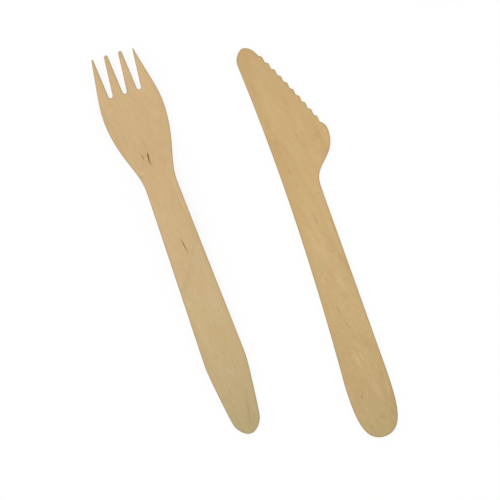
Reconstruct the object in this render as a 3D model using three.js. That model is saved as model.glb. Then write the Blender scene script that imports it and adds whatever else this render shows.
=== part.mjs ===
// Wooden cutlery set: a fork and a knife that lie side by side on a table.
// Each piece is die-cut from one sheet of birch veneer and hot-pressed to shape. Its edges are tumbled round.
// Millimetres, +Z up. +Y runs along the fork to its tips and +X from the fork to the knife.
// The origin is on the table, under the middle of the set.

import * as THREE from 'three';

// Sheet and pressing, alike in both pieces
const SHEET_THICKNESS = 1.8;
const EDGE_ROUND = 0.2; // radius along every cut edge
const GRIP_CROWN = 0.7; // how far the middle of a grip is pressed up above its sides
const CROWN_FADE = 24; // length over which a crown dies out before the neck

// Fork, lengths along its axis from the grip's end to the slots
const FORK_END_LENGTH = 5;
const FORK_GRIP_LENGTH = 25;
const FORK_STEM_LENGTH = 74.5;
const FORK_PALM_LENGTH = 31;
const FORK_ROOT_LENGTH = 7.2;

// Fork, widths at those places
const FORK_END_WIDTH = 10.9;
const FORK_GRIP_WIDTH = 16.8;
const FORK_NECK_WIDTH = 12.9;
const FORK_PALM_WIDTH = 24.8;

// Fork, how far its middle lies right of its axis where the blank is cut askew
const FORK_END_SHIFT = -0.3;
const FORK_NECK_SHIFT = 0.35;

// Tines: three tapered slots, cut a little askew of the outline
const SLOT_COUNT = 3;
const SLOT_PITCH = 5.83;
const SLOT_BOTTOM_RADIUS = 0.88;
const SLOT_WALL_DEG = 4.75; // lean of each slot wall, so that the slots widen to the tips
const SLOT_SHIFT = 0.6; // how far the middle slot lies left of the fork's axis
const SLOT_SKEW_DEG = 2.8; // turn of the slots, clockwise from above
const TINE_LENGTH = 15.7; // slot bottom to where a tip starts to round
const LEFT_TINE_LENGTH = 15.95; // the same on the left tine, which is the longest
const LEFT_TIP_WIDTH = 0.8; // width of the left tine where its tip starts to round
const RIGHT_TIP_WIDTH = 0.48; // the same on the right tine
const LEFT_TINE_LEAN_DEG = 11; // lean of the left tine's outer side to the fork's axis
const RIGHT_TINE_LEAN_DEG = 9.7; // the same on the right tine

// Fork, pressed form of its underside
const NECK_LIFT = 4.6; // arch at the neck
const TIP_LIFT = 5.6; // rise of the tips
const PALM_DISH = 1.5; // rise of the palm's sides above its middle
const REST_SETBACK = 7; // from the palm's widest place back to where it touches the table

// Knife, lengths along its axis
const KNIFE_GRIP_LENGTH = 23.2; // end to the widest place of the grip
const KNIFE_STEM_LENGTH = 79.5; // from there to the neck
const KNIFE_HEEL_LENGTH = 18.5; // neck to the widest place of the heel
const KNIFE_BEARD_LENGTH = 4.75; // from there to the first notch of the edge
const KNIFE_WAIST_LENGTH = 65.7; // widest place of the grip to the waist of the spine
const KNIFE_SPINE_SETBACK = 0.65; // last notch of the edge back to the end of the spine
const KNIFE_POINT_LENGTH = 5.5; // end of the spine to the top of the point

// Knife, distances from its axis
const KNIFE_GRIP_HALF = 8.85;
const KNIFE_NECK_OUT = 6.82;
const KNIFE_HEEL_OUT = 16.55;
const KNIFE_BEARD_OUT = 14.25;
const KNIFE_WAIST_OUT = 7.02;
const KNIFE_SPINE_OUT = 9.64;
const KNIFE_POINT_OUT = 5.9;

// Knife, toothed edge from the heel to the point
const TOOTH_COUNT = 10;
const TOOTH_PITCH = 3.53;
const TOOTH_HEIGHT = 0.8;
const TOOTH_CREST = 0.65; // place of a crest between its two notches, as a share from the heel side
const TOOTH_ROUND = 0.4; // how far the round at a crest or a notch reaches along each flank
const EDGE_SLANT_DEG = 24.8; // lean of the edge to the knife's axis
const EDGE_BOW = 0.36; // how far the line of notches bows out at its middle
const POINT_ENTRY_DEG = 33; // lean of the point's side where it meets the edge

// Lie of the set
const SIDE_GAP = 27.4; // clear width between the fork's palm and the knife's grip
const KNIFE_SETBACK = 19.3; // how far the knife's end lies behind the fork's
const KNIFE_TURN_DEG = 2.05; // turn of the knife, clockwise from above

// Fineness of the meshes
const OUTLINE_STEP = 2.4;
const CURVE_POINTS = 6; // fewest steps on one curved span
const ROUND_STEPS = 2;
const SHEET_STEP = 4;

const { degToRad, smoothstep } = THREE.MathUtils;

const forkGripAt = FORK_END_LENGTH + FORK_GRIP_LENGTH;
const forkNeckAt = forkGripAt + FORK_STEM_LENGTH;
const forkPalmAt = forkNeckAt + FORK_PALM_LENGTH;
const forkRootAt = forkPalmAt + FORK_ROOT_LENGTH;
const forkRestAt = forkPalmAt - REST_SETBACK;
const forkTipAt = forkRootAt + TINE_LENGTH;

const knifeNeckAt = KNIFE_GRIP_LENGTH + KNIFE_STEM_LENGTH;
const knifeHeelAt = knifeNeckAt + KNIFE_HEEL_LENGTH;
const knifeWaistAt = KNIFE_GRIP_LENGTH + KNIFE_WAIST_LENGTH;

// Outlines

// The curves of one side of an outline, through its knots in order. A knot is a distance out from the axis
// and a place along it. Its heading is in degrees, 0 along the axis and 90 straight out. Before and after say
// how far the curve keeps to that heading, as shares of the distance to the knot before and the knot after.
function sideCurves(knots, side) {
  const point = (knot) => new THREE.Vector2(side * knot.out, knot.along);
  const reach = (knot, length) => {
    const heading = degToRad(knot.heading);
    const way = new THREE.Vector2(side * Math.sin(heading), Math.cos(heading));
    return point(knot).addScaledVector(way, length);
  };
  return knots.slice(1).map((to, index) => {
    const from = knots[index];
    const chord = point(from).distanceTo(point(to));
    const leaving = reach(from, from.after * chord);
    const arriving = reach(to, -to.before * chord);
    return new THREE.CubicBezierCurve(point(from), leaving, arriving, point(to));
  });
}

// Points along curves that follow each other, evenly spaced on each curve.
function pointsAlong(curves) {
  return curves.flatMap((curve) => {
    const fewest = curve.isLineCurve ? 1 : CURVE_POINTS;
    const steps = Math.max(fewest, Math.ceil(curve.getLength() / OUTLINE_STEP));
    return curve.getSpacedPoints(steps).slice(0, -1);
  });
}

// The same curves run the other way.
function reversed(curves) {
  return curves.map(({ v0, v1, v2, v3 }) => new THREE.CubicBezierCurve(v3, v2, v1, v0)).reverse();
}

// A place in the pattern of slots, across from the middle slot and up from the slots' bottoms, on the fork.
function slotPlace(across, up) {
  const root = new THREE.Vector2(-SLOT_SHIFT, forkRootAt);
  return new THREE.Vector2(across, up).add(root).rotateAround(root, -degToRad(SLOT_SKEW_DEG));
}

// How far a slot's wall lies from the slot's middle line at a height above its bottom.
function slotHalf(up) {
  const wall = degToRad(SLOT_WALL_DEG);
  return SLOT_BOTTOM_RADIUS / Math.cos(wall) + (up - SLOT_BOTTOM_RADIUS) * Math.tan(wall);
}

// A round tip from the right corner of a tine to its left corner, along the slots' direction.
function tipCurve(right, left) {
  const circleReach = 4 / 3;
  const half = right.distanceTo(left) / 2;
  const rise = slotPlace(0, half * circleReach).sub(slotPlace(0, 0));
  return new THREE.CubicBezierCurve(right, right.clone().add(rise), left.clone().add(rise), left);
}

// The fork's tine end, from the outer corner of the right tine to that of the left one.
function tineCurves(rightCorner, leftCorner) {
  const path = new THREE.Path();
  const wall = degToRad(SLOT_WALL_DEG);
  const skew = degToRad(SLOT_SKEW_DEG);
  let corner = rightCorner;
  for (let slot = 0; slot < SLOT_COUNT; slot += 1) {
    const middle = ((SLOT_COUNT - 1) / 2 - slot) * SLOT_PITCH;
    const last = slot === SLOT_COUNT - 1;
    const leftLength = last ? LEFT_TINE_LENGTH : TINE_LENGTH;
    const mouthRight = slotPlace(middle + slotHalf(TINE_LENGTH), TINE_LENGTH);
    const mouthLeft = slotPlace(middle - slotHalf(leftLength), leftLength);
    const bottom = slotPlace(middle, SLOT_BOTTOM_RADIUS);
    path.curves.push(tipCurve(corner, mouthRight));
    path.currentPoint.copy(mouthRight);
    path.absarc(bottom.x, bottom.y, SLOT_BOTTOM_RADIUS, -wall - skew, Math.PI + wall - skew, true);
    path.lineTo(mouthLeft.x, mouthLeft.y);
    corner = mouthLeft;
  }
  path.curves.push(tipCurve(corner, leftCorner));
  return path.curves;
}

// One side of the fork, from the end of the grip to the outer corner of its outer tine, which leans in.
function forkSide(corner, leanDeg, side) {
  const endOut = FORK_END_WIDTH / 2 + side * FORK_END_SHIFT;
  const neckOut = FORK_NECK_WIDTH / 2 + side * FORK_NECK_SHIFT;
  const knots = [
    { out: side * FORK_END_SHIFT, along: 0, heading: 90, after: 0.385 },
    { out: endOut, along: FORK_END_LENGTH, heading: 12.5, before: 0.135, after: 0.134 },
    { out: FORK_GRIP_WIDTH / 2, along: forkGripAt, heading: 0, before: 0.1, after: 0.05 },
    { out: neckOut, along: forkNeckAt, heading: 0, before: 0.11, after: 0.235 },
    { out: FORK_PALM_WIDTH / 2, along: forkPalmAt, heading: 0, before: 0.47, after: 0.22 },
    { out: side * corner.x, along: corner.y, heading: -leanDeg, before: 0.42 },
  ];
  return sideCurves(knots, side);
}

function forkOutline() {
  const outerSlot = ((SLOT_COUNT - 1) / 2) * SLOT_PITCH;
  const rightOut = outerSlot + slotHalf(TINE_LENGTH) + RIGHT_TIP_WIDTH;
  const leftOut = outerSlot + slotHalf(LEFT_TINE_LENGTH) + LEFT_TIP_WIDTH;
  const rightCorner = slotPlace(rightOut, TINE_LENGTH);
  const leftCorner = slotPlace(-leftOut, LEFT_TINE_LENGTH);
  return pointsAlong([
    ...forkSide(rightCorner, RIGHT_TINE_LEAN_DEG, 1),
    ...tineCurves(rightCorner, leftCorner),
    ...reversed(forkSide(leftCorner, LEFT_TINE_LEAN_DEG, -1)),
  ]);
}

// The notches of the knife's edge, from the heel to the point, on a line that bows out.
function notchPlaces() {
  const slant = degToRad(EDGE_SLANT_DEG);
  const heel = new THREE.Vector2(KNIFE_BEARD_OUT, knifeHeelAt + KNIFE_BEARD_LENGTH);
  const towardPoint = new THREE.Vector2(-Math.sin(slant), Math.cos(slant));
  const outward = new THREE.Vector2(Math.cos(slant), Math.sin(slant));
  return Array.from({ length: TOOTH_COUNT + 1 }, (_, notch) => {
    const bow = EDGE_BOW * Math.sin((Math.PI * notch) / TOOTH_COUNT);
    return heel.clone().addScaledVector(towardPoint, notch * TOOTH_PITCH).addScaledVector(outward, bow);
  });
}

// The crest of the tooth between two notches.
function crestPlace(from, to) {
  const base = to.clone().sub(from);
  const outward = new THREE.Vector2(base.y, -base.x).normalize();
  return from.clone().addScaledVector(base, TOOTH_CREST).addScaledVector(outward, TOOTH_HEIGHT);
}

// The toothed edge: straight flanks between notches and crests, with a small round at each corner.
function toothCurves(notches) {
  const teeth = notches.slice(1).map((notch, index) => [crestPlace(notches[index], notch), notch]);
  const corners = [notches[0], ...teeth.flat()];
  const shoulder = (corner, other) => other.clone().sub(corner).setLength(TOOTH_ROUND).add(corner);
  const path = new THREE.Path().moveTo(corners[0].x, corners[0].y);
  corners.slice(1, -1).forEach((corner, index) => {
    const start = shoulder(corner, corners[index]);
    const end = shoulder(corner, corners[index + 2]);
    path.lineTo(start.x, start.y).quadraticCurveTo(corner.x, corner.y, end.x, end.y);
  });
  const last = corners.at(-1);
  return path.lineTo(last.x, last.y).curves;
}

function knifeOutline() {
  const notches = notchPlaces();
  const heelNotch = notches[0];
  const pointNotch = notches[TOOTH_COUNT];
  const spineAt = pointNotch.y - KNIFE_SPINE_SETBACK;
  const end = { out: 0, along: 0, heading: 90, after: 0.348 };
  const grip = { out: KNIFE_GRIP_HALF, along: KNIFE_GRIP_LENGTH, heading: 0, before: 0.487, after: 0.02 };
  const edgeSide = [
    end,
    grip,
    { out: KNIFE_NECK_OUT, along: knifeNeckAt, heading: 0, before: 0.04, after: 0.382 },
    { out: KNIFE_HEEL_OUT, along: knifeHeelAt, heading: 0, before: 0.487, after: 0.472 },
    { out: heelNotch.x, along: heelNotch.y, heading: -62, before: 0.302 },
  ];
  const spineSide = [
    end,
    grip,
    { out: KNIFE_WAIST_OUT, along: knifeWaistAt, heading: 0, before: 0.57, after: 0.55 },
    { out: KNIFE_SPINE_OUT, along: spineAt, heading: 0, before: 0.02, after: 0.52 },
    { out: KNIFE_POINT_OUT, along: spineAt + KNIFE_POINT_LENGTH, heading: -90, before: 0.08, after: 0.5 },
    { out: -pointNotch.x, along: pointNotch.y, heading: POINT_ENTRY_DEG - 180, before: 0.1 },
  ];
  return pointsAlong([
    ...sideCurves(edgeSide, 1),
    ...toothCurves(notches),
    ...reversed(sideCurves(spineSide, -1)),
  ]);
}

// Pressed forms: the height of a piece's underside above the table, at a place on the flat blank

// A grip's crown, which fades in over the grip's end and out before the neck.
function crownHeight(x, y, gripAt, neckAt, halfWidth) {
  const fade = smoothstep(y, 0, gripAt) * (1 - smoothstep(y, neckAt - CROWN_FADE, neckAt));
  return GRIP_CROWN * fade * (1 - (x / halfWidth) ** 2);
}

// The fork touches the table at its end and under its palm. It arches between them, and its tips rise.
function forkArch(y) {
  if (y < forkNeckAt) {
    return NECK_LIFT * smoothstep(y, 0, forkNeckAt);
  }
  if (y < forkRestAt) {
    return NECK_LIFT * (1 - smoothstep(y, forkNeckAt, forkRestAt));
  }
  return TIP_LIFT * ((y - forkRestAt) / (forkTipAt - forkRestAt)) ** 2;
}

function forkPress(x, y) {
  const dish = PALM_DISH * smoothstep(y, forkNeckAt, forkRestAt) * (x / (FORK_PALM_WIDTH / 2)) ** 2;
  return forkArch(y) + dish + crownHeight(x, y, forkGripAt, forkNeckAt, FORK_GRIP_WIDTH / 2);
}

// The knife's blade lies flat, and only its grip is crowned.
function knifePress(x, y) {
  return crownHeight(x, y, KNIFE_GRIP_LENGTH, knifeNeckAt, KNIFE_GRIP_HALF);
}

// Sheets

// Each point of an outline moved in by a distance, square to the outline there.
function inset(outline, distance) {
  return outline.map((point, index) => {
    const before = outline.at(index - 1);
    const after = outline[(index + 1) % outline.length];
    const arriving = point.clone().sub(before).normalize();
    const along = after.clone().sub(point).normalize().add(arriving).normalize();
    return new THREE.Vector2(point.x - along.y * distance, point.y + along.x * distance);
  });
}

// The corner at c, in radians, of a triangle whose other two corners are a and b.
function cornerAngle(a, b, c) {
  const toA = a.clone().sub(c);
  const toB = b.clone().sub(c);
  return Math.atan2(Math.abs(toA.cross(toB)), toA.dot(toB));
}

// Swaps the edge a-b of two triangles for their other diagonal, c-d, where the corners facing it are blunt.
function swapEdge(points, triangles, { a, b, c, d, left, right }) {
  const slack = 1e-9;
  const facing = cornerAngle(points[a], points[b], points[c]) + cornerAngle(points[a], points[b], points[d]);
  if (facing <= Math.PI + slack) {
    return false;
  }
  triangles[left] = [a, d, c];
  triangles[right] = [d, b, c];
  return true;
}

// Halves the edge a-b of two triangles, where it is longer than a step of the sheet.
function halveEdge(points, triangles, { a, b, c, d, left, right }) {
  if (points[a].distanceTo(points[b]) <= SHEET_STEP) {
    return false;
  }
  const middle = points.push(points[a].clone().lerp(points[b], 0.5)) - 1;
  triangles[left] = [a, middle, c];
  triangles[right] = [b, middle, d];
  triangles.push([middle, b, c], [middle, a, d]);
  return true;
}

// Offers each edge that two triangles share to a change, and says whether any edge was changed.
function sweepEdges(points, triangles, change) {
  const met = new Map();
  const touched = new Set();
  triangles.slice().forEach((triangle, right) => {
    triangle.forEach((b, corner) => {
      const a = triangle[(corner + 1) % 3];
      const d = triangle[(corner + 2) % 3];
      const other = met.get(`${a} ${b}`);
      met.set(`${b} ${a}`, { left: right, c: d });
      const free = other && !touched.has(other.left) && !touched.has(right);
      if (free && change(points, triangles, { a, b, c: other.c, d, left: other.left, right })) {
        touched.add(other.left).add(right);
      }
    });
  });
  return touched.size > 0;
}

// An even triangulation of the area inside a rim. It keeps the rim's points and adds its own inside.
function evenTriangles(rim) {
  const points = rim.slice();
  const triangles = THREE.ShapeUtils.triangulateShape(rim, []);
  let halved = true;
  while (halved) {
    let swapped = true;
    while (swapped) {
      swapped = sweepEdges(points, triangles, swapEdge);
    }
    halved = sweepEdges(points, triangles, halveEdge);
  }
  return { points, triangles };
}

// The rounded edge of a sheet in section, as steps in from the outline and up from the underside.
function edgeSection() {
  const lower = Array.from({ length: ROUND_STEPS + 1 }, (_, step) => {
    const turn = (step / ROUND_STEPS) * (Math.PI / 2);
    return { step: EDGE_ROUND * (1 - Math.sin(turn)), height: EDGE_ROUND * (1 - Math.cos(turn)) };
  });
  const upper = lower.map(({ step, height }) => ({ step, height: SHEET_THICKNESS - height }));
  return [...lower, ...upper.reverse()];
}

// A sheet of veneer cut to an outline, with rounded edges, pressed up by a height at every place.
function pressedSheet(outline, press) {
  const positions = [];
  const indices = [];
  const count = outline.length;
  const section = edgeSection();
  const addPoint = ({ x, y }, height) => positions.push(x, y, height + press(x, y)) / 3 - 1;

  section.forEach(({ step, height }, ring) => {
    inset(outline, step).forEach((point, index) => {
      addPoint(point, height);
      if (ring > 0) {
        const here = ring * count + index;
        const next = ring * count + ((index + 1) % count);
        indices.push(here - count, next - count, next, here - count, next, here);
      }
    });
  });

  const { points, triangles } = evenTriangles(inset(outline, EDGE_ROUND));
  const faces = [
    { firstRing: 0, height: 0, order: [0, 2, 1] },
    { firstRing: (section.length - 1) * count, height: SHEET_THICKNESS, order: [0, 1, 2] },
  ];
  faces.forEach(({ firstRing, height, order }) => {
    const vertexOf = (point, index) => (index < count ? firstRing + index : addPoint(point, height));
    const vertices = points.map(vertexOf);
    triangles.forEach((triangle) => order.forEach((corner) => indices.push(vertices[triangle[corner]])));
  });

  const sheet = new THREE.BufferGeometry();
  sheet.setAttribute('position', new THREE.Float32BufferAttribute(positions, 3));
  sheet.setIndex(indices);
  sheet.computeVertexNormals();
  return sheet;
}

// The set

function piece(name, geometry, colour) {
  const birch = new THREE.MeshStandardMaterial({ color: colour, roughness: 0.62, metalness: 0 });
  const mesh = new THREE.Mesh(geometry, birch);
  mesh.name = name;
  return mesh;
}

const fork = piece('fork', pressedSheet(forkOutline(), forkPress), 0xcdb082);

const knife = piece('knife', pressedSheet(knifeOutline(), knifePress), 0xcaac7b);
knife.position.set(FORK_PALM_WIDTH / 2 + SIDE_GAP + KNIFE_GRIP_HALF, -KNIFE_SETBACK, 0);
knife.rotation.z = -degToRad(KNIFE_TURN_DEG);

const cutlerySet = new THREE.Group();
cutlerySet.add(fork, knife);

const box = new THREE.Box3().setFromObject(cutlerySet, true);
const middle = box.getCenter(new THREE.Vector3());
cutlerySet.position.set(-middle.x, -middle.y, -box.min.z);

export default cutlerySet;
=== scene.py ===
"""Wooden cutlery set: the looks of a fork and a knife of pressed birch veneer, seen from straight above."""

import math
from collections import namedtuple

import bmesh
import bpy
from mathutils import Matrix, Vector
from mathutils.kdtree import KDTree

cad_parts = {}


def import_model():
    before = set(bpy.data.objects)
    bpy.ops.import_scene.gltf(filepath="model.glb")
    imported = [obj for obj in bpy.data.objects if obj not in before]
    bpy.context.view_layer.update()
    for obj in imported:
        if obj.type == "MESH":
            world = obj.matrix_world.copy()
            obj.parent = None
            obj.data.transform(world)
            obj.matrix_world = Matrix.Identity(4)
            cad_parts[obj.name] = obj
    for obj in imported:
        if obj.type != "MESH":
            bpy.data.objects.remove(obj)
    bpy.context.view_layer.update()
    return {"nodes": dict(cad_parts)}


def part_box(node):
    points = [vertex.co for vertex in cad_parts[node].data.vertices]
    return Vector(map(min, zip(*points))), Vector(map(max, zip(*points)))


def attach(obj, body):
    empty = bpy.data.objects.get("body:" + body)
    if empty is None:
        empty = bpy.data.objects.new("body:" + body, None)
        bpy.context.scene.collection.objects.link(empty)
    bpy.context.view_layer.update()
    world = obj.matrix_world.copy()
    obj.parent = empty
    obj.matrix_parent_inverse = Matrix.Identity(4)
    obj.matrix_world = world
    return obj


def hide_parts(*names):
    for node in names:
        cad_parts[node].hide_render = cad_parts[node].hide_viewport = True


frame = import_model()

MM = 0.001
WHITE = (1.0, 1.0, 1.0, 1.0)

# How a piece lies in the frame: the middle of its grip's end, its turn about the vertical, and how far its
# grain leans from its length. Both angles are anticlockwise.
Lay = namedtuple("Lay", "end turn grain")
KNIFE_FROM_FORK = Vector((48.65, -19.3, 0.0)) * MM


def fork_end():
    """The end of the fork's grip, on its axis: its palm, the widest part, is even on both sides of it."""
    low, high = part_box("fork")
    return Vector(((low.x + high.x) / 2, low.y, 0.0))


FORK = Lay(fork_end(), 0.0, math.radians(2.0))
KNIFE = Lay(FORK.end + KNIFE_FROM_FORK, math.radians(-2.05), math.radians(9.0))

# The photograph's view: straight down, with the set turned in the picture. The sensor is in mm.
PICTURE_TURN = math.radians(-20.23)
PICTURE_WIDTH = 196.85 * MM
PICTURE_FROM_FORK = Vector((24.19, 68.04, 1.8)) * MM
CAMERA_HEIGHT = 1.5
SENSOR = 36.0

SCREEN_STEPS = 255
SCREEN_GAMMA = 2.2


def colour(red, green, blue):
    """A colour as it looks on a screen, from 0 to 255, turned into the shader's scale."""
    return tuple((share / SCREEN_STEPS) ** SCREEN_GAMMA for share in (red, green, blue)) + (1.0,)


# Marks in the wood's top face, each drawn out from one place to another. All lengths are in mm. A place is
# given across the piece, and along it from the grip's end. Share is how much of the mark's colour shows, and
# depth is how far the mark sinks.
Mark = namedtuple("Mark", "start end width share depth", defaults=(0.0,))

FORK_DARK = (
    Mark((-0.3, 118.35), (-0.8, 114.95), 0.92, 0.95, 0.14),
    Mark((-0.75, 116.2), (-0.85, 113.3), 0.75, 0.7, 0.12),
    Mark((-0.65, 114.4), (-0.5, 112.0), 0.9, 0.25, 0.03),
    Mark((-2.95, 118.7), (-2.5, 115.0), 0.75, 0.52, 0.06),
    Mark((-0.75, 123.2), (0.05, 118.4), 1.0, 0.13),
    Mark((-0.5, 124.0), (-1.0, 102.0), 9.0, 0.03),
    Mark((3.5, 115.6), (3.8, 112.9), 1.4, 0.1),
    Mark((-6.3, 110.4), (-5.6, 108.7), 0.9, 0.28, 0.06),
    Mark((-7.4, 125.6), (-5.8, 123.0), 2.2, 0.05),
    Mark((4.0, 142.0), (10.0, 131.0), 5.0, 0.05),
    Mark((0.1, 82.2), (1.1, 74.6), 0.6, 0.85, 0.1),
    Mark((6.2, 79.2), (0.8, 72.6), 1.8, 0.07),
    Mark((1.8, 73.2), (-7.0, 59.7), 2.8, 0.09),
    Mark((-5.0, 66.0), (-6.2, 57.5), 2.4, 0.07),
    Mark((-3.1, 39.9), (-3.0, 38.3), 0.6, 0.25, 0.03),
    Mark((1.3, 38.3), (1.4, 37.0), 0.5, 0.2, 0.02),
    Mark((4.3, 50.9), (4.4, 49.2), 0.5, 0.25, 0.03),
    Mark((-2.7, 19.0), (-3.2, 14.4), 1.8, 0.07),
    Mark((4.5, 20.2), (-0.4, 2.6), 1.4, 0.12),
    Mark((3.2, 12.8), (0.5, 3.4), 0.6, 0.28, 0.04),
    Mark((3.2, 9.8), (2.8, 4.2), 0.6, 0.15),
    Mark((2.6, 7.0), (1.0, 1.0), 4.5, 0.06),
)

FORK_PALE = (
    Mark((-1.0, 28.0), (-0.3, 25.2), 0.5, 0.5),
    Mark((0.2, 27.2), (0.6, 24.4), 0.5, 0.5),
    Mark((1.0, 25.6), (1.4, 23.4), 0.45, 0.4),
    Mark((3.4, 66.0), (3.0, 30.0), 4.4, 0.07),
    Mark((-7.4, 55.2), (-4.0, 57.3), 1.4, 0.2),
    Mark((-6.3, 111.3), (-3.8, 110.4), 0.8, 0.3),
)

KNIFE_DARK = (
    Mark((-7.6, 159.0), (-6.4, 131.0), 2.8, 0.045),
    Mark((-6.0, 134.0), (-5.4, 126.5), 2.4, 0.06),
    Mark((4.0, 143.5), (3.8, 123.0), 3.0, 0.055),
    Mark((3.5, 137.6), (3.8, 136.2), 0.6, 0.2, 0.02),
    Mark((3.3, 125.3), (4.6, 121.8), 1.0, 0.14, 0.02),
    Mark((4.3, 122.6), (6.8, 115.8), 3.4, 0.07),
    Mark((14.2, 124.2), (8.0, 118.0), 2.6, 0.06),
    Mark((-4.2, 126.2), (-4.7, 121.2), 2.6, 0.07),
    Mark((0.3, 114.8), (0.5, 113.5), 0.5, 0.2, 0.02),
    Mark((-3.8, 112.0), (-2.6, 109.4), 0.8, 0.22, 0.03),
    Mark((-2.0, 106.4), (-1.5, 103.6), 0.6, 0.24, 0.03),
    Mark((-0.9, 99.0), (1.6, 81.0), 2.2, 0.08),
    Mark((0.7, 90.6), (1.2, 87.8), 0.6, 0.2, 0.03),
    Mark((0.9, 88.5), (7.2, 64.0), 2.8, 0.06),
    Mark((1.4, 80.6), (2.6, 74.7), 1.1, 0.08),
    Mark((2.5, 77.2), (3.0, 74.6), 0.6, 0.2, 0.03),
    Mark((2.9, 73.1), (5.3, 65.5), 1.3, 0.08),
    Mark((-2.8, 66.6), (-2.2, 63.6), 0.6, 0.22, 0.03),
    Mark((-3.3, 59.0), (1.2, 40.2), 2.0, 0.07),
    Mark((-2.0, 54.6), (-1.8, 50.6), 0.8, 0.12),
    Mark((-1.8, 50.6), (0.8, 43.5), 1.0, 0.08),
    Mark((0.2, 43.0), (1.6, 37.5), 2.4, 0.08),
    Mark((1.6, 42.0), (7.0, 33.0), 4.4, 0.06),
    Mark((-5.4, 38.2), (-5.9, 32.4), 2.2, 0.06),
    Mark((6.9, 26.2), (6.1, 21.6), 2.0, 0.09),
    Mark((-4.9, 23.2), (-2.6, 15.2), 2.8, 0.08),
    Mark((-4.0, 18.6), (-3.6, 16.9), 1.0, 0.22, 0.03),
    Mark((6.2, 10.8), (5.7, 6.2), 2.0, 0.09),
    Mark((-0.4, 8.9), (3.4, 6.7), 2.4, 0.1),
    Mark((0.4, 8.7), (1.8, 7.4), 0.7, 0.14),
    Mark((-3.9, 6.6), (-3.3, 4.2), 2.4, 0.12),
)

KNIFE_PALE = (
    Mark((-3.4, 161.0), (-3.2, 128.0), 3.6, 0.12),
    Mark((14.8, 123.6), (15.4, 120.4), 0.9, 0.28),
    Mark((-0.2, 114.2), (0.0, 113.2), 0.6, 0.35),
    Mark((-4.0, 122.0), (4.5, 66.0), 13.0, 0.1),
    Mark((4.4, 94.0), (6.8, 69.0), 2.6, 0.14),
    Mark((-4.3, 87.5), (1.2, 68.6), 3.6, 0.17),
    Mark((-3.6, 68.9), (-4.4, 63.6), 0.6, 0.25),
    Mark((1.1, 68.4), (3.3, 59.2), 3.4, 0.16),
    Mark((3.4, 55.7), (3.6, 54.4), 0.5, 0.4),
    Mark((0.9, 48.1), (0.8, 46.6), 0.5, 0.35),
    Mark((-1.5, 37.0), (-0.4, 28.2), 2.0, 0.22),
    Mark((0.8, 34.9), (1.1, 31.8), 0.6, 0.4),
    Mark((-1.3, 20.2), (-1.4, 17.3), 0.5, 0.35),
    Mark((0.9, 23.6), (4.6, 14.2), 3.4, 0.12),
    Mark((7.2, 22.5), (6.6, 13.5), 2.6, 0.18),
)


def middle_of(mark):
    return (Vector(mark.start) + Vector(mark.end)) / 2


def half_length(mark):
    return (Vector(mark.end) - Vector(mark.start)).length / 2


def turn_of(mark):
    """How far a mark leans from the piece's length, anticlockwise."""
    along = Vector(mark.start) - Vector(mark.end)
    return math.atan2(-along.x, along.y)


# Node trees

# A kind of noise: its grains per mm across, along and up, how many finer layers it has and how strong these
# are, and how far it bends
Grain = namedtuple("Grain", "per_mm layers roughness bend", defaults=(2.0, 0.5, 0.0))


class Tree:
    """The nodes of one material or world, with one short call for each kind of step."""

    # A Mix node's sockets for colours: the two that go in, and the one that comes out
    FIRST_COLOUR = 6
    SECOND_COLOUR = 7
    MIXED_COLOUR = 2

    def __init__(self, owner):
        owner.use_nodes = True
        self.owner = owner
        self.nodes = owner.node_tree.nodes
        self.links = owner.node_tree.links

    def set(self, socket, value):
        if isinstance(value, bpy.types.NodeSocket):
            self.links.new(value, socket)
        else:
            socket.default_value = value

    def node(self, kind, inputs, **settings):
        made = self.nodes.new("ShaderNode" + kind)
        for name, value in settings.items():
            setattr(made, name, value)
        for key, value in inputs.items():
            self.set(made.inputs[key], value)
        return made

    def math(self, operation, *values):
        return self.node("Math", dict(enumerate(values)), operation=operation).outputs[0]

    def vector(self, operation, *values):
        return self.node("VectorMath", dict(enumerate(values)), operation=operation)

    def ramp(self, value, low, high, to_low=0.0, to_high=1.0, slope="SMOOTHSTEP"):
        """A value taken from one range to another, smoothly unless told otherwise, and held at its ends."""
        inputs = {"Value": value, "From Min": low, "From Max": high, "To Min": to_low, "To Max": to_high}
        return self.node("MapRange", inputs, interpolation_type=slope).outputs[0]

    def noise(self, place, grain):
        """Noise from 0 to 1 with one kind of grain, as a value and as a colour."""
        stretched = self.node("Mapping", {"Vector": place, "Scale": grain.per_mm}).outputs[0]
        inputs = {
            "Vector": stretched,
            "Scale": 1.0,
            "Detail": grain.layers,
            "Roughness": grain.roughness,
            "Distortion": grain.bend,
        }
        return self.node("TexNoise", inputs, noise_dimensions="3D").outputs

    def mix(self, share, first, second, blend="MIX"):
        inputs = {"Factor": share, self.FIRST_COLOUR: first, self.SECOND_COLOUR: second}
        return self.node("Mix", inputs, data_type="RGBA", blend_type=blend).outputs[self.MIXED_COLOUR]

    def seen(self):
        """1 for the rays that show a surface to the camera, directly or in a reflection, and 0 for light."""
        path = self.node("LightPath", {}).outputs
        mirrored = self.math("MAXIMUM", path["Is Glossy Ray"], path["Is Transmission Ray"])
        return self.math("MAXIMUM", path["Is Camera Ray"], mirrored)


# Wood

# Each piece's own wood: its paler and its darker tone, its tint on the stem, its painted light falloff
# towards the grip's end and its painted shading at the tips, how strong its figure and its specks are, and
# its marks
Wood = namedtuple("Wood", "light dark stem_tint grip_tint tip_tint figure specks dark_marks pale_marks")

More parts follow.
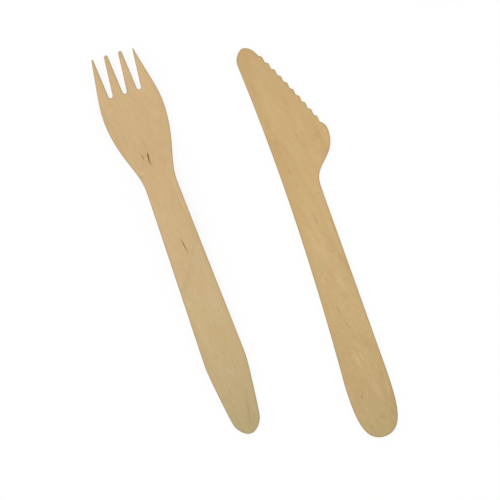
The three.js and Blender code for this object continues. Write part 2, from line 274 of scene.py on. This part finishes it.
FORK_WOOD = Wood(
    light=colour(205, 175, 129),
    dark=colour(191, 159, 110),
    stem_tint=(0.965, 1.005, 1.02, 1.0),
    # The grip's tint is painted light falloff with some of the wood's own hue, and the tips' tint is painted
    # light that brightens the tines
    grip_tint=(0.782, 0.835, 0.83, 1.0),
    tip_tint=(1.05, 1.04, 1.06, 1.0),
    figure=0.2,
    specks=0.4,
    dark_marks=FORK_DARK,
    pale_marks=FORK_PALE,
)
KNIFE_WOOD = Wood(
    light=colour(202, 170, 119),
    dark=colour(188, 155, 101),
    stem_tint=(0.98, 1.0, 1.02, 1.0),
    # The grip's tint is painted light falloff with some of the wood's own hue, and the tip's tint is painted
    # shade that darkens it a little
    grip_tint=(0.833, 0.885, 0.88, 1.0),
    tip_tint=(0.97, 0.96, 0.97, 1.0),
    figure=0.45,
    specks=1.0,
    dark_marks=KNIFE_DARK,
    pale_marks=KNIFE_PALE,
)

DARK_FLECK = colour(104, 73, 26)
PALE_FLECK = colour(222, 198, 156)
PORE = colour(150, 116, 74)

# The bare wood's tone, from its paler one to its darker one: the mean, and how much each part moves it
MEAN_TONE = 0.33
RING_WEIGHT = 0.3
STREAK_WEIGHT = 0.45
MOTTLE_WEIGHT = 0.7
FIBRE_WEIGHT = 0.75
FIGURE = Grain((0.2, 0.03, 0.3), bend=0.4)
FIGURE_RANGE = (0.25, 0.75)
STREAKS = Grain((1.7, 0.035, 1.7), 3.0)
MOTTLE = Grain((0.9, 0.22, 0.9), 3.0)
FIBRES = Grain((7.0, 0.22, 7.0), 3.0, 0.6)

# The rings: how far they drift, how close they are, how deep each gets, and where in it its end line comes
RING_DRIFT = Grain((0.045, 0.004, 0.12), 1.0)
RING_SWING = 2.6
RINGS_PER_MM = 0.05
RING_DEPTH = 0.55
RING_LINE = (0.9, 0.985)
RING_LINE_DEPTH = 0.2

# Spots and blotches: their noise, its range in which they come up, and how much of their colour shows
Spots = namedtuple("Spots", "grain low high share", defaults=(1.0,))
SPECK = Grain((2.8, 0.75, 2.8), 1.0)
PALE_SPECKS = Spots(SPECK, 0.65, 0.78, 0.5)
DARK_SPECKS = Spots(SPECK, 0.37, 0.25, 0.18)
PALE_PORES = Spots(Grain((4.0, 0.4, 4.0), 1.0), 0.66, 0.78, 0.3)
PORES = Spots(Grain((6.5, 0.55, 6.5), 1.0), 0.62, 0.74)
PORE_SHARE = 0.22
BLUSH = Spots(Grain((0.11, 0.06, 0.2)), 0.35, 0.65)
GREENER = (0.993, 1.003, 0.993, 1.0)
REDDER = (1.007, 0.996, 1.005, 1.0)

# Where along the piece a tint, the painted shading at the grip's end and tips, or the specks come in, in mm
# from the grip's end: from none to all
SPECK_STRETCH = (95.0, 60.0)
STEM_STRETCH = (95.0, 65.0)
GRIP_STRETCH = (55.0, 0.0)
GRIP_CURVE = 1.5
TIP_STRETCH = (125.0, 155.0)

# The cut sides come in by the normal's upward part, and the rim's darkening, partly wear and partly painted
# edge shade, by its nearness to the outline
CUT_SLOPE = (0.8, 0.3)
CUT_SHARE = 0.8
CUT_DARK = (0.62, 0.5, 0.4, 1.0)
CUT_LIGHT = (0.86, 0.78, 0.7, 1.0)
RIM_LAYER = "rim"
RIM_RANGE = (0.15, 1.0)
# The rim's darkening: partly wear, partly painted shade on the rounded edge
RIM_WEAR_AND_SHADE = (0.86, 0.88, 0.9, 1.0)

# The marks: how far their rims wander in mm, how soft these are, how high the marks reach in mm, and where
# the top face comes in, by the normal's upward part
WANDER = Grain((1.6, 0.5, 1.6), 3.0)
WANDER_MIDDLE = (0.5, 0.5, 0.5)
WANDER_REACH = (0.5, 1.2, 0.0)
MARK_RIM = (1.15, 0.2)
MARK_HEIGHT = 1000.0
TOP_SLOPE = (0.3, 0.7)

# The gloss, from the valleys of the fibres to their tops, and the relief that fibres and pores make
FIBRE_RANGE = (0.2, 0.8)
ROUGHNESS = (0.52, 0.7)
SPECULAR = 0.25
RELIEF_STRENGTH = 0.35
RELIEF_HEIGHT = 0.03 * MM


def placed(tree, lay):
    """Texture coordinates in mm on one piece: across it, along it from the grip's end, and up."""
    where = tree.node("TexCoord", {}).outputs["Object"]
    inputs = {"Vector": where, "Location": lay.end, "Rotation": (0.0, 0.0, lay.turn), "Scale": (MM, MM, MM)}
    return tree.node("Mapping", inputs, vector_type="TEXTURE").outputs[0]


def rings(tree, on_grain):
    """The broad soft rings of a sheet peeled from the log: each darkens slowly and ends at a fine line."""
    drift = tree.noise(on_grain, RING_DRIFT)[0]
    across = tree.node("SeparateXYZ", {"Vector": on_grain}).outputs[0]
    count = tree.math("MULTIPLY_ADD", drift, RING_SWING, tree.math("MULTIPLY", across, RINGS_PER_MM))
    share = tree.math("FRACT", count)
    line = tree.ramp(share, *RING_LINE, 0.0, RING_LINE_DEPTH)
    return tree.math("MULTIPLY_ADD", share, RING_DEPTH, line)


def tone_of(tree, on_grain, fibres, figure_weight):
    """How far the bare wood is from its paler tone to its darker one."""
    parts = (
        (tree.ramp(tree.noise(on_grain, FIGURE)[0], *FIGURE_RANGE), figure_weight),
        (rings(tree, on_grain), RING_WEIGHT),
        (tree.noise(on_grain, STREAKS)[0], STREAK_WEIGHT),
        (tree.noise(on_grain, MOTTLE)[0], MOTTLE_WEIGHT),
        (fibres, FIBRE_WEIGHT),
    )
    tone = MEAN_TONE - sum(weight for _, weight in parts) / 2
    for part, weight in parts:
        tone = tree.math("MULTIPLY_ADD", part, weight, tone)
    return tone


def spotted(tree, place, spots):
    """How much of the spots' colour shows at each place."""
    return tree.ramp(tree.noise(place, spots.grain)[0], spots.low, spots.high, 0.0, spots.share)


def flecked(tree, wood, on_grain, along, pores, specks):
    """Wood with fine pale and dark pores all over it, and coarser specks on its grip."""
    wood = tree.mix(spotted(tree, on_grain, PALE_PORES), wood, PALE_FLECK)
    wood = tree.mix(tree.math("MULTIPLY", pores, PORE_SHARE), wood, PORE)
    on_grip = tree.ramp(along, *SPECK_STRETCH, 0.0, specks)
    for spots, shade in ((PALE_SPECKS, PALE_FLECK), (DARK_SPECKS, DARK_FLECK)):
        share = tree.math("MULTIPLY", spotted(tree, on_grain, spots), on_grip)
        wood = tree.mix(share, wood, shade)
    return wood


def tinted(tree, wood, place, along, finish):
    """Wood that is a little redder here and greener there, and whose tint changes along the piece: a hue on
    the stem, painted light falloff that darkens it towards the grip's end, and painted shading at the tips.
    """
    blush = tree.mix(spotted(tree, place, BLUSH), GREENER, REDDER)
    wood = tree.mix(1.0, wood, blush, "MULTIPLY")
    wood = tree.mix(tree.ramp(along, *STEM_STRETCH), wood, finish.stem_tint, "MULTIPLY")
    # Painted light falloff: the wood darkens towards the grip's end, with some of the wood's own change of
    # hue
    painted_falloff = tree.math("POWER", tree.ramp(along, *GRIP_STRETCH, slope="LINEAR"), GRIP_CURVE)
    wood = tree.mix(painted_falloff, wood, finish.grip_tint, "MULTIPLY")
    # Painted shading at the tips: lighter on the fork's tines, a little darker on the knife's tip
    return tree.mix(tree.ramp(along, *TIP_STRETCH), wood, finish.tip_tint, "MULTIPLY")


def edged(tree, wood, fibres, upward):
    """Wood that is browner on the cut sides, where the ends of the fibres show, and darker along the rim:
    partly wear, partly painted shade on the rounded edge.
    """
    cut = tree.ramp(tree.math("ABSOLUTE", upward), *CUT_SLOPE, 0.0, CUT_SHARE)
    wood = tree.mix(cut, wood, tree.mix(fibres, CUT_DARK, CUT_LIGHT), "MULTIPLY")
    rim = tree.node("Attribute", {}, attribute_name=RIM_LAYER).outputs["Fac"]
    # Painted edge shade together with the rim's wear: the wood darkens towards the outline
    return tree.mix(tree.ramp(rim, *RIM_RANGE), wood, RIM_WEAR_AND_SHADE, "MULTIPLY")


def ragged(tree, place):
    """The piece's own places, moved a little by noise, so that marks get uneven rims."""
    wander = tree.noise(place, WANDER)["Color"]
    wander = tree.vector("SUBTRACT", wander, WANDER_MIDDLE).outputs[0]
    return tree.vector("MULTIPLY_ADD", wander, WANDER_REACH, place).outputs[0]


def mark_share(tree, place, marks):
    """How much of the marks' colour shows at each place."""
    total = 0.0
    for mark in marks:
        inputs = {
            "Vector": place,
            "Location": (*middle_of(mark), 0.0),
            "Rotation": (0.0, 0.0, turn_of(mark)),
            "Scale": (mark.width / 2, half_length(mark), MARK_HEIGHT),
        }
        spot = tree.node("Mapping", inputs, vector_type="TEXTURE").outputs[0]
        reach = tree.vector("LENGTH", spot).outputs["Value"]
        total = tree.math("ADD", tree.ramp(reach, *MARK_RIM, 0.0, mark.share), total)
    return total


def marked(tree, wood, place, upward, dark_marks, pale_marks):
    """Wood with its marks, on the top face alone."""
    top = tree.ramp(upward, *TOP_SLOPE)
    uneven = ragged(tree, place)
    for marks, shade in ((pale_marks, PALE_FLECK), (dark_marks, DARK_FLECK)):
        wood = tree.mix(tree.math("MULTIPLY", mark_share(tree, uneven, marks), top), wood, shade)
    return wood


def birch(name, lay, finish):
    """Bare pressed birch: soft rings and figure, fine fibres and pores along the grain, brown flecks."""
    tree = Tree(bpy.data.materials.new(name))
    shader = tree.nodes["Principled BSDF"]
    place = placed(tree, lay)
    along = tree.node("SeparateXYZ", {"Vector": place}).outputs[1]
    on_grain = tree.node("Mapping", {"Vector": place, "Rotation": (0.0, 0.0, -lay.grain)}).outputs[0]
    facing = tree.node("TexCoord", {}).outputs["Normal"]
    upward = tree.node("SeparateXYZ", {"Vector": facing}).outputs[2]
    fibres = tree.noise(on_grain, FIBRES)[0]
    pores = spotted(tree, on_grain, PORES)

    wood = tree.mix(tone_of(tree, on_grain, fibres, finish.figure), finish.light, finish.dark)
    wood = flecked(tree, wood, on_grain, along, pores, finish.specks)
    wood = tinted(tree, wood, place, along, finish)
    wood = edged(tree, wood, fibres, upward)
    wood = marked(tree, wood, place, upward, finish.dark_marks, finish.pale_marks)
    tree.set(shader.inputs["Base Color"], wood)

    tree.set(shader.inputs["Roughness"], tree.ramp(fibres, *FIBRE_RANGE, *ROUGHNESS))
    tree.set(shader.inputs["Specular IOR Level"], SPECULAR)
    relief = tree.math("SUBTRACT", fibres, pores)
    bump = {"Height": relief, "Strength": RELIEF_STRENGTH, "Distance": RELIEF_HEIGHT}
    tree.set(shader.inputs["Normal"], tree.node("Bump", bump).outputs[0])
    return tree.owner


# Pieces

# The sheets' finer copies: how near points are that are welded, how alike triangles are that become one face,
# how often faces are halved to smooth them, and how steep an edge is and how far it turns if it stays sharp
WELD_REACH = 0.01 * MM
PAIR_FACES = math.radians(25.0)
PAIR_SHAPES = math.radians(75.0)
FINE_LEVELS = 2
STEEP_EDGE = 0.3
SHARP_CORNER = math.radians(45.0)

# Where more detail is needed: the rounds of halving, and the size at which a face is fine enough
REFINE_ROUNDS = 3
RIM_FACE = 0.08 * MM ** 2
FLECK_FACE = 0.015 * MM ** 2

# What counts as a flat face, as the top face and as the wall between the faces, by the normal's upward part
FLAT_FACE = 0.85
TOP_FACE = 0.5
WALL_SLOPE = 0.3

# The wall: its height, the points taken on each of its edges, and the points that give a level's middle
WALL_HEIGHT = 1.4 * MM
WALL_SAMPLES = 4
WALL_POINTS = 24

# The tumbled rim: how far in from the outline it reaches, and how far it drops
RIM_REACH = 0.9 * MM
RIM_DROP = 0.13 * MM

# How far around a fleck the mesh is finer, and how far along the piece flecks are looked for, in mm
FLECK_MARGIN = 0.35
FLECK_SEARCH = 1.0


def sharp_corners(shape):
    """The short upright edges where the outline turns sharply, as at the ends of the toothed edge."""
    for edge in shape.edges:
        rise = abs(edge.verts[1].co.z - edge.verts[0].co.z)
        steep = edge.is_manifold and rise > STEEP_EDGE * edge.calc_length()
        if steep and edge.calc_face_angle() > SHARP_CORNER:
            yield edge


def smoothed(node):
    """A finer copy of a CAD sheet's mesh: facets smoothed out, and sharp corners of the outline kept."""
    shape = bmesh.new()
    shape.from_mesh(frame["nodes"][node].data)
    bmesh.ops.remove_doubles(shape, verts=shape.verts, dist=WELD_REACH)
    limits = {"angle_face_threshold": PAIR_FACES, "angle_shape_threshold": PAIR_SHAPES}
    bmesh.ops.join_triangles(shape, faces=shape.faces, **limits)
    crease = shape.edges.layers.float.new("crease_edge")
    for edge in sharp_corners(shape):
        edge[crease] = 1.0
    mesh = bpy.data.meshes.new(node + "_coarse")
    shape.to_mesh(mesh)
    shape.free()
    coarse = bpy.data.objects.new(node + "_coarse", mesh)
    bpy.context.scene.collection.objects.link(coarse)
    smooth = coarse.modifiers.new("smooth", "SUBSURF")
    smooth.levels = FINE_LEVELS
    fine = bpy.data.meshes.new_from_object(coarse.evaluated_get(bpy.context.evaluated_depsgraph_get()))
    bpy.data.objects.remove(coarse)
    bpy.data.meshes.remove(mesh)
    return fine


def refine(shape, wanted, size):
    """Halves the edges of the wanted faces that are larger than a size, for some rounds."""
    for _ in range(REFINE_ROUNDS):
        coarse = {face for face in shape.faces if face.calc_area() > size and wanted(face)}
        edges = [edge for edge in shape.edges if not coarse.isdisjoint(edge.link_faces)]
        bmesh.ops.subdivide_edges(shape, edges=edges, cuts=1, use_grid_fill=True, use_single_edge=True)
        odd = [face for face in shape.faces if len(face.verts) > 4]
        bmesh.ops.poke(shape, faces=odd)
        shape.normal_update()


def flat(place):
    """A place as seen from above."""
    return Vector((place.x, place.y, 0.0))


def on_wall(point):
    return abs(point.normal.z) < WALL_SLOPE


def finder_of(places):
    """Finds the nearest of some places."""
    finder = KDTree(len(places))
    for index, place in enumerate(places):
        finder.insert(place, index)
    finder.balance()
    return finder


def outline_finder(shape):
    """Finds the outline's nearest point as seen from above, and so how far in from the outline a place is."""
    places = []
    for edge in shape.edges:
        if all(on_wall(point) for point in edge.verts):
            first, last = (flat(point.co) for point in edge.verts)
            places += [first.lerp(last, step / WALL_SAMPLES) for step in range(WALL_SAMPLES)]
    return finder_of(places)


def tumble(shape):
    """Wears the rims of both faces down to a soft shoulder, and notes how near the rim each point is."""
    outline = outline_finder(shape)
    wall = [point.co.copy() for point in shape.verts if on_wall(point)]
    wall_finder = finder_of([flat(place) for place in wall])

    def inward(place):
        return outline.find(flat(place))[2]

    def near_rim(face):
        return abs(face.normal.z) > FLAT_FACE and inward(face.calc_center_median()) < RIM_REACH

    def level(place):
        """Where a place is between the faces: 1 at the top one, -1 at the lower one."""
        near = wall_finder.find_n(flat(place), WALL_POINTS)
        middle = sum(wall[index].z for _, index, _ in near) / len(near)
        return max(-1.0, min(1.0, 2 * (place.z - middle) / WALL_HEIGHT))

    refine(shape, near_rim, RIM_FACE)
    rim = shape.verts.layers.float.new(RIM_LAYER)
    for point in shape.verts:
        share = max(0.0, 1 - inward(point.co) / RIM_REACH)
        point[rim] = share
        if share > 0:
            point.co.z -= RIM_DROP * share ** 2 * level(point.co)


def reach_of(mark, place, margin=0.0):
    """How far out of a mark a place on the piece is: 0 at its middle and 1 at its rim."""
    aside = Matrix.Rotation(-turn_of(mark), 2) @ (place.xy - middle_of(mark))
    return math.hypot(aside.x / (mark.width / 2 + margin), aside.y / (half_length(mark) + margin))


def beside(mark, place):
    return mark.end[1] - FLECK_SEARCH < place.y < mark.start[1] + FLECK_SEARCH


def sink_flecks(shape, marks, onto_piece):
    """Presses the deeper flecks into the top face, on a finer mesh around each."""
    deep = [mark for mark in marks if mark.depth > 0]

    def near_fleck(face):
        if face.normal.z < TOP_FACE:
            return False
        place = onto_piece @ face.calc_center_median()
        return any(beside(mark, place) and reach_of(mark, place, FLECK_MARGIN) < 1 for mark in deep)

    refine(shape, near_fleck, FLECK_FACE)
    for point in {point for face in shape.faces if near_fleck(face) for point in face.verts}:
        place = onto_piece @ point.co
        for mark in deep:
            reach = reach_of(mark, place)
            if reach < 1:
                point.co.z -= mark.depth * MM * (1 - reach ** 2) ** 2


def veneer(node, lay, finish):
    """A sheet of veneer that stands for a CAD node, in its place."""
    mesh = smoothed(node)
    onto_piece = Matrix.Scale(1 / MM, 4) @ Matrix.Rotation(-lay.turn, 4, "Z") @ Matrix.Translation(-lay.end)
    shape = bmesh.new()
    shape.from_mesh(mesh)
    tumble(shape)
    sink_flecks(shape, finish.dark_marks, onto_piece)
    shape.to_mesh(mesh)
    shape.free()
    mesh.polygons.foreach_set("use_smooth", [True] * len(mesh.polygons))
    mesh.materials.clear()
    mesh.materials.append(birch(node + " birch", lay, finish))
    piece = bpy.data.objects.new(node + "_veneer", mesh)
    bpy.context.scene.collection.objects.link(piece)
    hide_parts(node)
    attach(piece, "root")


veneer("fork", FORK, FORK_WOOD)
veneer("knife", KNIFE, KNIFE_WOOD)


# Studio

# The lamp's place and size in metres and its power in watts, and the strength of the room's light
KEY_PLACE = Vector((-0.22, 0.13, 1.15))
KEY_SIZE = 0.9
KEY_POWER = 5.55
ROOM_LIGHT = 0.66

# The floor: its reach to each side, its level just under the set, and how much of its white is its own
FLOOR_REACH = 3.0
FLOOR_LEVEL = -0.02 * MM
FLOOR_OWN_WHITE = 0.87
FLOOR_ROUGHNESS = 0.9


def key_lamp():
    """A large soft lamp, above and a little to the upper left of the set."""
    lamp = bpy.data.lights.new("key", "AREA")
    lamp.shape = "DISK"
    lamp.size = KEY_SIZE
    lamp.energy = KEY_POWER
    holder = bpy.data.objects.new("key", lamp)
    holder.location = KEY_PLACE
    holder.rotation_euler = (-KEY_PLACE).to_track_quat("-Z", "Y").to_euler()
    bpy.context.scene.collection.objects.link(holder)


def floor():
    """A white table: it takes the shadow, and part of its white is its own so that the shadow stays faint."""
    mesh = bpy.data.meshes.new("floor")
    corners = [(x, y, FLOOR_LEVEL) for x, y in ((-1, -1), (1, -1), (1, 1), (-1, 1))]
    mesh.from_pydata(corners, [], [(0, 1, 2, 3)])
    mesh.transform(Matrix.Diagonal((FLOOR_REACH, FLOOR_REACH, 1.0, 1.0)))
    plane = bpy.data.objects.new("floor", mesh)
    bpy.context.scene.collection.objects.link(plane)
    tree = Tree(bpy.data.materials.new("floor white"))
    shader = tree.nodes["Principled BSDF"]
    tree.set(shader.inputs["Base Color"], WHITE)
    tree.set(shader.inputs["Roughness"], FLOOR_ROUGHNESS)
    tree.set(shader.inputs["Specular IOR Level"], 0.0)
    glow = tree.node("Emission", {"Color": WHITE, "Strength": 1.0}).outputs[0]
    share = tree.math("MULTIPLY", tree.seen(), FLOOR_OWN_WHITE)
    mixed = tree.node("MixShader", {0: share, 1: shader.outputs[0], 2: glow}).outputs[0]
    tree.set(tree.nodes["Material Output"].inputs["Surface"], mixed)
    mesh.materials.append(tree.owner)


def world():
    """A soft white room, that a camera sees as plain white."""
    tree = Tree(bpy.data.worlds.new("studio"))
    sky = tree.nodes["Background"]
    tree.set(sky.inputs["Color"], WHITE)
    tree.set(sky.inputs["Strength"], tree.ramp(tree.seen(), 0.0, 1.0, ROOM_LIGHT, 1.0))
    bpy.context.scene.world = tree.owner


def camera():
    """The photograph's view: high above the set with a long lens, so that all of it is seen from above."""
    lens = bpy.data.cameras.new("camera")
    lens.sensor_width = SENSOR
    lens.lens = SENSOR * CAMERA_HEIGHT / PICTURE_WIDTH
    holder = bpy.data.objects.new("camera", lens)
    holder.location = FORK.end + PICTURE_FROM_FORK + Vector((0.0, 0.0, CAMERA_HEIGHT))
    holder.rotation_euler = (0.0, 0.0, PICTURE_TURN)
    bpy.context.scene.collection.objects.link(holder)
    bpy.context.scene.camera = holder


floor()
world()
key_lamp()
camera()
bpy.context.scene.view_settings.view_transform = "Standard"
